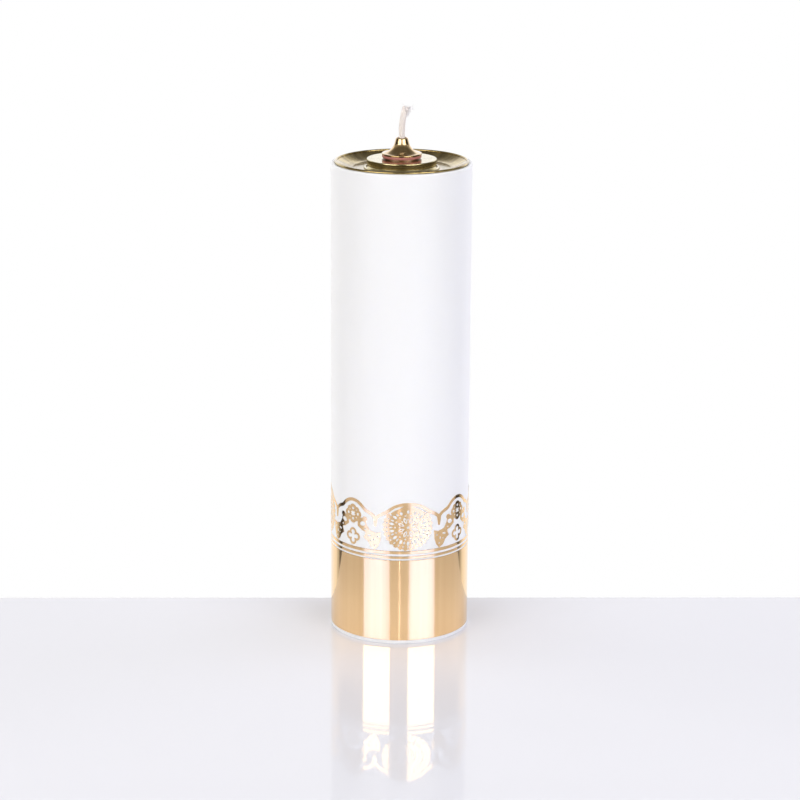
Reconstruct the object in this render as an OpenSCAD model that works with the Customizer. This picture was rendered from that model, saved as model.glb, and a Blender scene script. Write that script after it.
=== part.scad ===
// Refillable oil candle: a white tube with gold foil bands, a brass dish in its mouth,
// and a lift-out oil cartridge with a screw-in burner and a cotton wick.
// Millimetres. +Z is up, and the origin is the middle of the base, on the table.

/* [Candle tube] */
// Outer diameter of the white tube
tube_d = 80; // [79:0.5:82]
// Height of the white lip above the table
lip_z = 274; // [220:1:320]
// Wall thickness of the tube
tube_wall = 3.5; // [3.2:0.1:3.8]
// Radius of the rounded edge outside the lip
lip_edge_r = 1.2; // [0.6:0.1:1.4]
// Depth of the rebate that the dish's bead sits in
rebate_h = 0.3; // [0.25:0.05:0.3]

/* [Base plug] */
// Height of the white flange that shows below the gold band
flange_h = 2.2; // [1.5:0.1:3]
// Height of the spigot inside the tube
spigot_h = 12; // [8:1:20]
// Wall thickness of the spigot
spigot_wall = 2; // [1.6:0.1:2.6]
// Number of stiffening ribs
rib_count = 6; // [3:1:8]

/* [Gold foil] */
// Thickness of the foil
foil_t = 0.12; // [0.1:0.01:0.2]
// Top of the wide gold band
band_top = 50.6; // [45:0.1:51]
// Bottom and top of the lower thin ring
ring_low = [51.6, 53.1]; // [51:0.1:54]
// Bottom and top of the upper thin ring
ring_high = [54.4, 56.2]; // [54:0.1:57]
// Top of the lace arches
lace_top = 85; // [80:0.5:90]
// Width of one narrow arch, in degrees round the tube
arch_a = 43; // [42:0.5:44]
// Width of one wide arch, in degrees round the tube
arch_b = 54.5; // [53:0.5:56]
// Middle of the front wide arch, in degrees to the right of the front
arch_front = 7; // [0:0.25:10]

/* [Dish] */
// Thickness of the brass sheet
dish_t = 0.8; // [0.6:0.1:0.9]
// Radius of the rolled bead at the dish's rim
bead_r = 0.7; // [0.6:0.05:0.75]
// Depth of the dish's floor below the lip
dish_depth = 3.15; // [2.5:0.05:4]
// Radius where the sloping wall meets the floor
floor_r = 27.8; // [26:0.1:30]
// Radius of the hole that the oil tank passes through
hole_r = 20.6; // [20.5:0.1:21]
// Length of the locating skirt under the dish
skirt_h = 13; // [8:0.5:20]

/* [Oil cartridge] */
// Outer radius of the cap's raised boss
cap_r = 19.8; // [19.6:0.1:20]
// Height of the boss above the lip
cap_rise = 2.15; // [1.5:0.05:3]
// Radius of the cap's bottom flange
cap_flange_r = 21.5; // [21.2:0.1:23]
// Sheet thickness of the cap
cap_t = 0.7; // [0.6:0.05:0.8]
// Depth of the tank's bottom below the lip
tank_depth = 110; // [80:1:130]
// Wall thickness of the tank
tank_t = 0.5; // [0.4:0.05:0.6]

/* [Burner] */
// Outer radius of the thread under the burner
thread_r = 7; // [6.5:0.1:7.2]
// Length of that thread
thread_h = 7.5; // [6:0.5:8]
// Radius of the red gasket
gasket_r = 11.2; // [10.8:0.1:11.4]
// Thickness of the red gasket
gasket_h = 1.5; // [1:0.1:2]
// Radius of the burner's flange
burner_r = 11.3; // [11:0.1:11.6]
// Height of the burner above the gasket
burner_h = 9.55; // [9.3:0.05:10]
// Outer radius of the nozzle's mouth
nozzle_r = 3.5; // [3.3:0.05:3.7]

/* [Wick] */
// Diameter of the braided cotton wick
wick_d = 3.8; // [3.4:0.1:3.8]
// Inner radius of the wick tube
sleeve_r = 2.05; // [2.05:0.01:2.1]
// Wall thickness of the wick tube
sleeve_wall = 0.45; // [0.4:0.01:0.48]
// Depth of the wick tube's bottom below the lip
sleeve_depth = 28; // [20:1:40]

/* [Hidden] */
$fn = 96;

tube_r = tube_d / 2;
bore_r = tube_r - tube_wall;
// Radial gap of a running fit
fit = 0.05;
// Overlap that carries one cut past a face
cut = 1;

// Rolled bead: its radius from the axis, and the height of its centre
bead_c = bore_r + 0.85;
bead_z = lip_z + 0.45;
rebate_r = bead_c + bead_r + 0.15;
floor_z = lip_z - dish_depth;

// Heights of the parts stacked on the boss
cap_z = lip_z + cap_rise;
cap_plate = 0.9;
bush_flange = 0.75;
gasket_z = cap_z + bush_flange;
burner_z = gasket_z + gasket_h;
mouth_z = burner_z + burner_h;
shank_z = gasket_z - thread_h;
neck_r = thread_r + 1.5;
tank_r = cap_r - cap_t - fit;
tank_z = lip_z - tank_depth;
seam_t = 0.6;
seam_h = 2.4;
washer_h = 0.8;
nut_h = 4;

// Lace border: [middle angle, width in degrees, 1 for a wide arch]
gap_back = 360 - 2 * arch_a - arch_b;
back_scale = gap_back / (3 * arch_b + 2 * arch_a);
back_a = arch_a * back_scale;
back_b = arch_b * back_scale;
side = (arch_b + arch_a) / 2;
arches = [
    [arch_front, arch_b, 1],
    [arch_front - side, arch_a, 0],
    [arch_front + side, arch_a, 0],
    [arch_front + arch_b / 2 + arch_a + back_b / 2, back_b, 1],
    [arch_front - arch_b / 2 - arch_a - back_b / 2, back_b, 1],
    [arch_front + arch_b / 2 + arch_a + back_b + back_a / 2, back_a, 0],
    [arch_front - arch_b / 2 - arch_a - back_b - back_a / 2, back_a, 0],
    [arch_front + 180, back_b, 1]
];
// Height of the notch between two arches
lace_notch = lace_top - 8.5;

// Route of the wick, from its bent top to its tail in the tank
wick_route = [
    [2.4, 0, lip_z + 31.4],
    [1.5, 0, lip_z + 29],
    [0.8, 0, lip_z + 26],
    [0.3, 0, lip_z + 23],
    [0, 0, lip_z + 19],
    [0, 0, lip_z + 14],
    [0, 0, lip_z + 7],
    [0, 0, lip_z],
    [0, 0, lip_z - 7],
    [0, 0, lip_z - 14],
    [0, 0, lip_z - 21],
    [0, 0, lip_z - 28],
    [0, 0, lip_z - 35],
    [0, 0, lip_z - 41],
    [0.3, 0.1, lip_z - 48],
    [0.9, 0.3, lip_z - 55],
    [1.5, 0.5, lip_z - 62],
    [1.8, 0.7, lip_z - 69],
    [1.7, 0.8, lip_z - 76],
    [1.2, 0.7, lip_z - 83],
    [0.5, 0.5, lip_z - 90],
    [-0.2, 0.2, lip_z - 97],
    [-0.8, -0.1, lip_z - 103]
];
wick_sides = 8;

// Points of an arc in the section plane, from angle a0 to a1
function arc(c, r, a0, a1, n) =
    [for (i = [0:n]) c + r * [cos(a0 + (a1 - a0) * i / n), sin(a0 + (a1 - a0) * i / n)]];

// Height of the dish's upper face at radius r: a shallow bowl that flattens to the floor
wall_r = bead_c - 0.5;
wall_z = lip_z + 0.3;
function dish_z(r) =
    floor_z + (wall_z - floor_z) * pow(max(0, (r - floor_r) / (wall_r - floor_r)), 1.5);

// A ring of rectangular section
module ring(r0, r1, z0, z1) {
    rotate_extrude($fn = 96)
        translate([r0, z0]) square([r1 - r0, z1 - z0]);
}

// Moulded plug that closes the tube's foot and stands on a ring
module base_plug() {
    foot_r = tube_r - 4;
    web_z = 2.2;
    spigot_r = bore_r - fit;
    hub_r = 6;
    color("white") union() {
        rotate_extrude()
            polygon([[0, 0.8], [foot_r - 0.4, 0.8], [foot_r, 0], [tube_r - 0.3, 0], [tube_r, 0.3],
                     [tube_r, flange_h], [spigot_r, flange_h], [spigot_r, flange_h + spigot_h],
                     [spigot_r - spigot_wall, flange_h + spigot_h],
                     [spigot_r - spigot_wall, web_z], [0, web_z]]);
        for (i = [0:rib_count - 1])
            rotate(i * 360 / rib_count)
                translate([hub_r - 1, -0.8, web_z - 0.4])
                    cube([spigot_r - hub_r - 0.5, 1.6, spigot_h / 2]);
        ring(hub_r - 2, hub_r, web_z - 0.6, web_z + spigot_h / 2 + 0.6);
    }
}

// White tube with a rounded lip and a shallow rebate for the dish
module candle_tube() {
    color("white") rotate_extrude()
        polygon(concat(
            [[bore_r, flange_h], [tube_r, flange_h]],
            arc([tube_r - lip_edge_r, lip_z - lip_edge_r], lip_edge_r, 0, 90, 6),
            [[rebate_r, lip_z], [rebate_r, lip_z - rebate_h], [bore_r, lip_z - rebate_h]]));
}

// A foil band wrapped on the tube
module foil(z0, z1) {
    color("gold") ring(tube_r, tube_r + foil_t, z0, z1);
}

module gold_band() {
    foil(flange_h, band_top);
}

module gold_rings() {
    foil(ring_low[0], ring_low[1]);
    foil(ring_high[0], ring_high[1]);
}

// A bar that points outwards at angle a and height z, to cut or keep a round patch of foil
module bar(a, z, r) {
    rotate(a) translate([0, -tube_r / 2, z]) rotate([90, 0, 0])
        cylinder(r = r, h = tube_r);
}

// Radius and centre height of the round top of an arch that spans w degrees
function arch_r(w) =
    let (half = tube_r * sin(w / 2), rise = lace_top - lace_notch)
    (half * half + rise * rise) / (2 * rise);
function arch_c(w) = lace_top - arch_r(w);

// The openings in one arch: a row under its line, its lower field and its middle
module arch_holes(a, w, wide) {
    step = w / 4;
    if (wide == 1)
        for (i = [-2:2])
            bar(a + i * step * 0.62, lace_top - 7.2 - 0.9 * i * i, 1.7);
    else
        for (i = [-1:1])
            bar(a + i * step * 1.25, lace_top - 7 - 2.2 * i * i, i == 0 ? 1.5 : 2.4);
    for (i = [-1:1])
        bar(a + i * step * 0.95, 69.5 - 0.8 * abs(i), 1.9);
    for (s = [-1, 1])
        bar(a + s * step * 0.95, 61, 2.6);
    bar(a, 62, wide == 1 ? 1.9 : 3.4);
}

// Foil lace: scalloped arches with round openings
module lace_border() {
    color("gold") difference() {
        intersection() {
            ring(tube_r, tube_r + foil_t, ring_high[1] + 0.5, lace_top + cut);
            union()
                for (p = arches)
                    bar(p[0], arch_c(p[1]), arch_r(p[1]));
        }
        for (p = arches)
            arch_holes(p[0], p[1], p[2]);
    }
}

// Spun brass dish with a rolled bead at its rim
module top_dish() {
    steps = 10;
    upper = [for (i = [0:steps])
        let (r = floor_r + (wall_r - floor_r) * i / steps) [r, dish_z(r)]];
    edge = bore_r - 0.1;
    lower = [for (i = [steps:-1:0])
        let (r = floor_r + (edge - floor_r) * i / steps) [r, dish_z(r) - dish_t]];
    neck = [[wall_r, lip_z - 0.2], [edge, lip_z - 0.2]];
    color("darkgoldenrod") union() {
        rotate_extrude()
            polygon(concat([[hole_r, floor_z]], upper, neck, lower,
                           [[hole_r, floor_z - dish_t]]));
        rotate_extrude()
            translate([bead_c, bead_z]) circle(r = bead_r, $fn = 48);
    }
}

// Ring brazed under the dish, which centres it in the tube
module dish_skirt() {
    skirt_r = bore_r - 0.07;
    top = dish_z(skirt_r - 0.7) - dish_t - 0.02;
    color("darkgoldenrod") ring(skirt_r - 0.7, skirt_r, top - skirt_h, top);
}

// Drawn tin can that holds the oil
module oil_tank() {
    color("silver") ring(tank_r - tank_t, tank_r, tank_z, cap_z - cap_plate - fit);
}

// Pressed bottom, seamed round the can
module tank_base() {
    dome_r = tank_r - tank_t - 2;
    color("silver") rotate_extrude()
        polygon([[0, tank_z + 0.6], [dome_r, tank_z + 0.6], [dome_r + 0.6, tank_z],
                 [tank_r + 0.02, tank_z], [tank_r + 0.02, tank_z + seam_h],
                 [tank_r + seam_t, tank_z + seam_h], [tank_r + seam_t, tank_z - seam_t],
                 [dome_r + 0.4, tank_z - seam_t], [dome_r - 0.2, tank_z], [0, tank_z]]);
}

// Brass cap of the cartridge: a raised boss over a flange that rests on the dish
module tank_cap() {
    edge = 1;
    inner_r = cap_r - cap_t;
    flange_z = floor_z + cap_t;
    color("goldenrod") rotate_extrude()
        polygon(concat(
            [[neck_r + fit, cap_z - cap_plate], [inner_r, cap_z - cap_plate],
             [inner_r, floor_z], [cap_flange_r, floor_z], [cap_flange_r, flange_z]],
            arc([cap_r + 0.5, flange_z + 0.5], 0.5, 270, 180, 3),
            arc([cap_r - edge, cap_z - edge], edge, 0, 90, 5),
            [[neck_r + fit, cap_z]]));
}

// Threaded bush that the burner screws into, clamped through the cap
module neck_bush() {
    color("goldenrod") rotate_extrude()
        polygon([[thread_r + fit, shank_z - 1], [neck_r, shank_z - 1], [neck_r, cap_z],
                 [gasket_r - 0.6, cap_z], [gasket_r - 0.6, gasket_z], [thread_r + fit, gasket_z]]);
}

module bush_washer() {
    color("dimgray") ring(neck_r + fit, neck_r + 3, cap_z - cap_plate - washer_h, cap_z - cap_plate);
}

// Hexagonal lock nut under the cap
module bush_nut() {
    z = cap_z - cap_plate - washer_h - nut_h;
    color("goldenrod") difference() {
        translate([0, 0, z]) cylinder(r = neck_r + 3.6, h = nut_h, $fn = 6);
        translate([0, 0, z - cut]) cylinder(r = neck_r + 0.03, h = nut_h + 2 * cut);
    }
}

module burner_gasket() {
    color("firebrick") ring(thread_r + 0.3, gasket_r, gasket_z, burner_z);
}

// Plain sleeve that carries the wick, with a collar under the burner
module wick_tube() {
    outer = sleeve_r + sleeve_wall;
    collar_z = shank_z - 1.3;
    color("darkgoldenrod") rotate_extrude()
        polygon([[sleeve_r, lip_z - sleeve_depth], [outer, lip_z - sleeve_depth],
                 [outer, collar_z], [outer + 1.2, collar_z], [outer + 1.2, shank_z - 0.1],
                 [outer, shank_z - 0.1], [outer, mouth_z - 0.5], [sleeve_r, mouth_z - 0.5]]);
}

// Turned brass burner: flange, hollowed skirt, nozzle and threaded shank
module burner_cap() {
    bore = sleeve_r + sleeve_wall + fit;
    rim_h = 0.4;
    skirt_arc = 7.85;
    skirt_c = [burner_r + 0.4, burner_z + 8.7];
    tip = 0.7;
    color("darkgoldenrod") rotate_extrude()
        polygon(concat(
            [[bore, shank_z], [thread_r - 0.6, shank_z], [thread_r, shank_z + 0.6],
             [thread_r, burner_z], [burner_r, burner_z], [burner_r, burner_z + rim_h]],
            arc(skirt_c, skirt_arc, 262, 197, 12),
            arc([nozzle_r - tip, mouth_z - tip], tip, 10, 90, 4),
            [[bore, mouth_z]]));
}

// Sweep of a regular section along a route, as one closed polyhedron
function unit(v) = v / norm(v);
function heading(path, i) =
    unit(path[min(i + 1, len(path) - 1)] - path[max(i - 1, 0)]);
module sweep(path, r, sides) {
    points = [for (i = [0:len(path) - 1])
        let (t = heading(path, i), u = unit(cross([0, 1, 0], t)), v = cross(t, u))
        for (k = [0:sides - 1])
            path[i] + r * (cos(k * 360 / sides) * u + sin(k * 360 / sides) * v)];
    last = (len(path) - 1) * sides;
    sides_faces = [for (i = [0:len(path) - 2])
        for (k = [0:sides - 1])
            let (n = (k + 1) % sides, a = i * sides, b = a + sides)
            [a + k, b + k, b + n, a + n]];
    faces = concat(
        [[for (k = [0:sides - 1]) k]],
        sides_faces,
        [[for (k = [0:sides - 1]) last + sides - 1 - k]]);
    polyhedron(points = points, faces = faces);
}

module wick() {
    color("antiquewhite") sweep(wick_route, wick_d / 2, wick_sides);
}

base_plug();
candle_tube();
gold_band();
gold_rings();
lace_border();
top_dish();
dish_skirt();
oil_tank();
tank_base();
tank_cap();
neck_bush();
bush_washer();
bush_nut();
burner_gasket();
wick_tube();
burner_cap();
wick();
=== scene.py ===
"""Looks of the refillable oil candle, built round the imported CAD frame.

Sizes are in millimetres until add_mesh turns them into metres."""
import math
import random

import bmesh
import bpy
import numpy as np
from mathutils import Matrix, Vector
from mathutils.geometry import delaunay_2d_cdt


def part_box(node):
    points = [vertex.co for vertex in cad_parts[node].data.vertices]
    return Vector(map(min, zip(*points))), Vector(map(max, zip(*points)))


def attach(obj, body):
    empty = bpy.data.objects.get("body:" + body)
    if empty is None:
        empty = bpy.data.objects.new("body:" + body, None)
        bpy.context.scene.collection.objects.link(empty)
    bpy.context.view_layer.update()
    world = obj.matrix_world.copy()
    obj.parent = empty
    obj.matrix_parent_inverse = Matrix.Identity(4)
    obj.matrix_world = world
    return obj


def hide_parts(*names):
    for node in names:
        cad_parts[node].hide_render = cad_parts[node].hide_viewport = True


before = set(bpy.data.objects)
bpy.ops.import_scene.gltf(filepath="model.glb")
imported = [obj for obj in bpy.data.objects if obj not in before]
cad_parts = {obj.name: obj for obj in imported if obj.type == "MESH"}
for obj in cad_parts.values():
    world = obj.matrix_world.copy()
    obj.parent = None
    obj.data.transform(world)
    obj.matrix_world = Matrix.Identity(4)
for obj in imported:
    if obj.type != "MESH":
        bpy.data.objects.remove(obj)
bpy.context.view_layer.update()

MM = 0.001
TAU = 2 * math.pi


# ---- sizes from the frame
def low(node):
    """Lowest height of a CAD node."""
    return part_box(node)[0].z / MM


def high(node):
    """Greatest height of a CAD node."""
    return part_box(node)[1].z / MM


def span(node):
    """Lowest and greatest height of a CAD node."""
    return low(node), high(node)


def radius(node):
    """Outer radius of a round CAD node."""
    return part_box(node)[1].x / MM


TUBE_R = radius("candle_tube")
TUBE_Z = low("candle_tube")
LIP_Z = high("candle_tube")
TUBE_WALL = 3.5
BORE_R = TUBE_R - TUBE_WALL
FOIL_R = radius("gold_band")
FOIL_T = FOIL_R - TUBE_R
SEAT_Z = high("tank_cap")
GASKET_Z = low("burner_gasket")
BURNER_Z = high("burner_gasket")
MOUTH_Z = high("burner_cap")
THREAD_PITCH = 1.5

# Tolerances for cleaning a mesh, in metres
WELD = 1e-7
TINY_EDGE = 1e-8


# ---- mesh helpers
def add_mesh(name, verts, faces, sharp_deg=35):
    """A mesh object from points in mm, with smooth faces and sharp edges above an angle."""
    mesh = bpy.data.meshes.new(name)
    mesh.from_pydata([(x * MM, y * MM, z * MM) for x, y, z in verts], [], faces)
    bm = bmesh.new()
    bm.from_mesh(mesh)
    bmesh.ops.remove_doubles(bm, verts=bm.verts, dist=WELD)
    bmesh.ops.dissolve_degenerate(bm, edges=bm.edges, dist=TINY_EDGE)
    bmesh.ops.recalc_face_normals(bm, faces=bm.faces)
    limit = math.radians(sharp_deg)
    for face in bm.faces:
        face.smooth = True
    for edge in bm.edges:
        edge.smooth = len(edge.link_faces) == 2 and edge.calc_face_angle(0) < limit
    bm.to_mesh(mesh)
    bm.free()
    obj = bpy.data.objects.new(name, mesh)
    bpy.context.scene.collection.objects.link(obj)
    return obj


def rotated(x, y, turn):
    """A flat point turned about the origin."""
    c, s = math.cos(turn), math.sin(turn)
    return x * c - y * s, x * s + y * c


def arc(cx, cz, r, start, end, steps):
    """Points of an arc in the section plane, angles in degrees."""
    turn = [math.radians(start + (end - start) * i / steps) for i in range(steps + 1)]
    return [(cx + r * math.cos(a), cz + r * math.sin(a)) for a in turn]


def rounded(points, steps=4):
    """A closed outline whose corners (r, z, corner radius) are rounded off."""
    out = []
    count = len(points)
    for i, point in enumerate(points):
        x, z, rad = (*point, 0)[:3]
        if not rad:
            out.append((x, z))
            continue
        corner = Vector((x, z))
        to_last = Vector(points[i - 1][:2]) - corner
        to_next = Vector(points[(i + 1) % count][:2]) - corner
        half = to_last.angle(to_next) / 2
        cut = min(rad / math.tan(half), 0.49 * to_last.length, 0.49 * to_next.length)
        first = corner + to_last.normalized() * cut
        last = corner + to_next.normalized() * cut
        for k in range(steps + 1):
            t = k / steps
            p = first * (1 - t) ** 2 + corner * 2 * t * (1 - t) + last * t * t
            out.append((p.x, p.y))
    return out


def supported(outline, near=0.25):
    """The same outline with a point close to each end of its long stretches, so that the
    rounding of a corner doesn't spread over the flat beside it."""
    out = []
    for a, b in zip(outline, outline[1:] + outline[:1]):
        out.append(a)
        length = math.dist(a, b)
        if length > 4 * near:
            for share in (near / length, 1 - near / length):
                out.append((a[0] + (b[0] - a[0]) * share, a[1] + (b[1] - a[1]) * share))
    return out


def lathe(name, outline, segments=192, shape=None):
    """Turns a closed outline of (radius, height) about the axis. shape(angle, r, z) gives the
    radius at each point where the piece isn't round."""
    verts, rings = [], []
    outline = supported(outline)
    for r, z in outline:
        if r == 0:
            rings.append([len(verts)] * segments)
            verts.append((0, 0, z))
            continue
        rings.append(range(len(verts), len(verts) + segments))
        for k in range(segments):
            a = TAU * k / segments
            rr = shape(a, r, z) if shape else r
            verts.append((rr * math.sin(a), -rr * math.cos(a), z))
    faces = []
    for i, ring in enumerate(rings):
        after = rings[(i + 1) % len(rings)]
        for k in range(segments):
            n = (k + 1) % segments
            corners = [ring[k], ring[n], after[n], after[k]]
            unique = list(dict.fromkeys(corners))
            if len(unique) > 2:
                faces.append(unique)
    return add_mesh(name, verts, faces)


def frames_along(path, side=None):
    """Two directions across a path at each of its points, carried along it without a twist."""
    last = len(path) - 1
    out = []
    for i in range(len(path)):
        along = (path[min(i + 1, last)] - path[max(i - 1, 0)]).normalized()
        if side is None:
            side = along.orthogonal().normalized()
        side = (side - along * side.dot(along)).normalized()
        out.append((side, along.cross(side)))
    return out


def tube_along(points, r, sides):
    """Points and faces of a closed round tube along a list of points. r is its radius, or a
    list of one radius for each point."""
    path = [Vector(p) for p in points]
    count = len(path)
    radii = r if isinstance(r, list) else [r] * count
    verts = []
    for p, (side, up), rr in zip(path, frames_along(path), radii):
        for k in range(sides):
            a = TAU * k / sides
            verts.append(p + (side * math.cos(a) + up * math.sin(a)) * rr)
    return verts, tube_faces(count, sides)


def tube_faces(count, sides):
    """Faces round count rings of points, one after the other, and over both ends."""
    faces = []
    for i in range(0, (count - 1) * sides, sides):
        for k in range(sides):
            n = (k + 1) % sides
            faces.append([i + k, i + n, i + sides + n, i + sides + k])
    ends = [list(range(sides))[::-1], [(count - 1) * sides + k for k in range(sides)]]
    return faces + ends


def merged(parts):
    """One list of points and one of faces from several."""
    verts, faces = [], []
    for part_verts, part_faces in parts:
        shift = len(verts)
        verts += part_verts
        faces += [[i + shift for i in face] for face in part_faces]
    return verts, faces


def place(obj, body, material, slot, *nodes):
    """Gives a piece its material and its place in the frame, and hides the CAD nodes it stands for.
    """
    obj.data.materials.append(material)
    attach(obj, body)
    if nodes:
        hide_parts(*nodes)
    return obj


# ---- material helpers
class Nodes:
    """A small wrapper that adds nodes to a node tree."""

    def __init__(self, tree):
        self.tree = tree

    def add(self, kind, **settings):
        node = self.tree.nodes.new(kind)
        for key, value in settings.items():
            setattr(node, key, value)
        return node

    def link(self, a, b):
        self.tree.links.new(a, b)

    def fill(self, socket, value):
        """Gives a socket a number or a colour, or links it to another socket."""
        if isinstance(value, tuple):
            socket.default_value = (*value, 1)
        elif isinstance(value, (int, float)):
            socket.default_value = value
        else:
            self.link(value, socket)

    def split(self, vector):
        """The x, y and z of a vector."""
        node = self.add("ShaderNodeSeparateXYZ")
        self.link(vector, node.inputs[0])
        return tuple(node.outputs)

    def joined(self, *values):
        """A vector of the values."""
        node = self.add("ShaderNodeCombineXYZ")
        for value, socket in zip(values, node.inputs):
            self.link(value, socket)
        return node.outputs[0]

    def math(self, operation, a, b):
        node = self.add("ShaderNodeMath", operation=operation)
        self.fill(node.inputs[0], a)
        self.fill(node.inputs[1], b)
        return node.outputs[0]

    def ramp(self, value, start, end, a=0.0, b=1.0):
        """Value carried from start..end to a..b, clamped."""
        node = self.add("ShaderNodeMapRange")
        for key, number in zip(("From Min", "From Max", "To Min", "To Max"), (start, end, a, b)):
            node.inputs[key].default_value = number
        self.link(value, node.inputs["Value"])
        return node.outputs[0]

    def mix(self, factor, a, b):
        """A colour between a and b."""
        node = self.add("ShaderNodeMix", data_type="RGBA")
        self.link(factor, node.inputs["Factor"])
        # Sockets 6 and 7 are the node's colours A and B
        self.fill(node.inputs[6], a)
        self.fill(node.inputs[7], b)
        return node.outputs[2]


class Shader(Nodes):
    """A new material, with the nodes that feed its shader."""

    def __init__(self, name):
        self.material = bpy.data.materials.new(name)
        self.material.use_nodes = True
        super().__init__(self.material.node_tree)
        self.out = self.tree.nodes["Principled BSDF"]
        self.place = self.add("ShaderNodeTexCoord").outputs["Object"]

    def set(self, **values):
        """Constants on the shader's own sockets."""
        for key, value in values.items():
            self.out.inputs[key.replace("_", " ")].default_value = value

    def feed(self, **sources):
        """Links into the shader's own sockets."""
        for key, value in sources.items():
            self.link(value, self.out.inputs[key.replace("_", " ")])

    def mapped(self, scale, source=None):
        """Object coordinates, or those of source, stretched by scale, per metre."""
        node = self.add("ShaderNodeMapping")
        node.inputs["Scale"].default_value = scale
        self.link(source or self.place, node.inputs["Vector"])
        return node.outputs["Vector"]

    def round_place(self):
        """Coordinates (turn in radians, distance from the axis in m, height in m) of a round
        piece, with their seam at its back."""
        x, y, z = self.split(self.place)
        turn = self.math("ARCTAN2", x, self.math("MULTIPLY", y, -1))
        length = self.add("ShaderNodeVectorMath", operation="LENGTH")
        self.link(self.joined(x, y), length.inputs[0])
        return self.joined(turn, length.outputs["Value"], z)

    def noise(self, scale, detail=3.0, source=None, rough=0.5):
        node = self.add("ShaderNodeTexNoise")
        node.inputs["Scale"].default_value = scale
        node.inputs["Detail"].default_value = detail
        node.inputs["Roughness"].default_value = rough
        self.link(source or self.place, node.inputs["Vector"])
        return node.outputs["Fac"]

    def spread(self, noise, a, b):
        """Noise, which lies mostly between 0.3 and 0.7, carried to a..b."""
        return self.ramp(noise, 0.3, 0.7, a, b)

    def bump(self, height, strength, distance, normal=None):
        """A normal for a relief that is distance metres deep."""
        node = self.add("ShaderNodeBump")
        node.inputs["Strength"].default_value = strength
        node.inputs["Distance"].default_value = distance
        self.link(height, node.inputs["Height"])
        if normal is not None:
            self.link(normal, node.inputs["Normal"])
        return node.outputs[0]


def white_plastic():
    """Satin white plastic: fine moulded grain, faint flow marks, hardly any colour change."""
    s = Shader("white_plastic")
    grain = s.noise(9000, 2)
    flow = s.noise(1, 3, s.mapped((30, 30, 6)))
    s.set(IOR=1.49, Specular_IOR_Level=0.5)
    s.set(Subsurface_Weight=0.12, Subsurface_Scale=0.004)
    s.set(Subsurface_Radius=(1.0, 0.95, 0.9))
    s.feed(Base_Color=s.mix(flow, (0.875, 0.871, 0.854), (0.895, 0.891, 0.872)),
           Roughness=s.spread(flow, 0.30, 0.36),
           Normal=s.bump(grain, 0.12, 0.00003, s.bump(flow, 0.05, 0.0004)))
    return s.material


def gold_foil(name, crinkle):
    """Lacquered mirror foil. Faint streaks run up the tube under it, and crinkle is the depth
    in metres of the small dents where the foil follows an embossed pattern."""
    s = Shader(name)
    streaks = s.noise(1, 4, s.mapped((9, 0, 2), s.round_place()), 0.6)
    mottle = s.noise(700, 4)
    dents = s.noise(1300, 2)
    s.set(Metallic=1.0, Coat_Weight=0.25, Coat_Roughness=0.06, Coat_IOR=1.5)
    normal = s.bump(dents, 1.0, crinkle, s.bump(streaks, 1.0, 0.00005))
    tone = s.spread(streaks, 0.0, 1.0)
    s.feed(Base_Color=s.mix(tone, (0.885, 0.59, 0.295), (0.955, 0.665, 0.345)),
           Roughness=s.ramp(mottle, 0.35, 0.75, 0.07, 0.12),
           Normal=normal, Coat_Normal=normal)
    return s.material


def spun_brass(name, dark, light, rough, ring_scale=1600):
    """Lathe-turned brass: rings round the axis, stains, lacquer, and radial streaks of colour that
    paint the bright and dark reflection fans of the rings.
    """
    s = Shader(name)
    round_place = s.round_place()
    rings = s.noise(1, 4, s.mapped((0.4, ring_scale, ring_scale), round_place), 0.7)
    streaks = s.noise(1, 4, s.mapped((7, 40, 40), round_place), 0.6)
    stain = s.noise(180, 5, None, 0.6)
    # The radial streaks are a painted reflection of the fans that the turned rings throw; the
    # stains are the metal's own.
    tone = s.ramp(s.math("ADD", streaks, s.math("MULTIPLY", stain, 0.4)), 0.55, 0.85)
    s.set(Metallic=1.0, Anisotropic=0.4, Coat_Weight=0.5, Coat_Roughness=0.05, Coat_IOR=1.5)
    s.feed(Base_Color=s.mix(tone, dark, light),
           Roughness=s.spread(rings, rough, rough + 0.12),
           Tangent=s.add("ShaderNodeTangent", direction_type="RADIAL", axis="Z").outputs[0],
           Normal=s.bump(rings, 0.2, 0.00005, s.bump(stain, 0.03, 0.0002)))
    return s.material


def tinplate():
    """Bright tinplate: drawn lines up the can, a faint spangle."""
    s = Shader("tinplate")
    lines = s.noise(1, 3, s.mapped((90, 1, 30), s.round_place()))
    spangle = s.add("ShaderNodeTexVoronoi")
    spangle.inputs["Scale"].default_value = 260
    s.link(s.place, spangle.inputs["Vector"])
    tone = s.ramp(spangle.outputs["Distance"], 0.0, 0.9)
    s.set(Metallic=1.0)
    s.feed(Base_Color=s.mix(tone, (0.70, 0.71, 0.73), (0.80, 0.81, 0.82)),
           Roughness=s.spread(lines, 0.18, 0.34),
           Normal=s.bump(lines, 0.10, 0.0001))
    return s.material


def rubber(name, dark, light):
    """Moulded rubber with a matt bloom."""
    s = Shader(name)
    bloom = s.noise(900, 4)
    s.set(IOR=1.52, Specular_IOR_Level=0.4)
    s.feed(Base_Color=s.mix(bloom, dark, light),
           Roughness=s.spread(bloom, 0.42, 0.6),
           Normal=s.bump(s.noise(5000, 2), 0.2, 0.00004))
    return s.material


def cotton(name, dark, light):
    """Raw cotton yarn: soft sheen, fine fibres up the wick, uneven colour."""
    s = Shader(name)
    tone = s.noise(420, 4)
    fibre = s.noise(1, 4, s.mapped((9000, 9000, 2200)))
    s.set(IOR=1.45, Specular_IOR_Level=0.25, Sheen_Weight=0.3, Sheen_Roughness=0.5)
    s.feed(Base_Color=s.mix(tone, dark, light),
           Roughness=s.spread(fibre, 0.8, 0.95),
           Normal=s.bump(fibre, 0.35, 0.00008))
    return s.material


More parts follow.
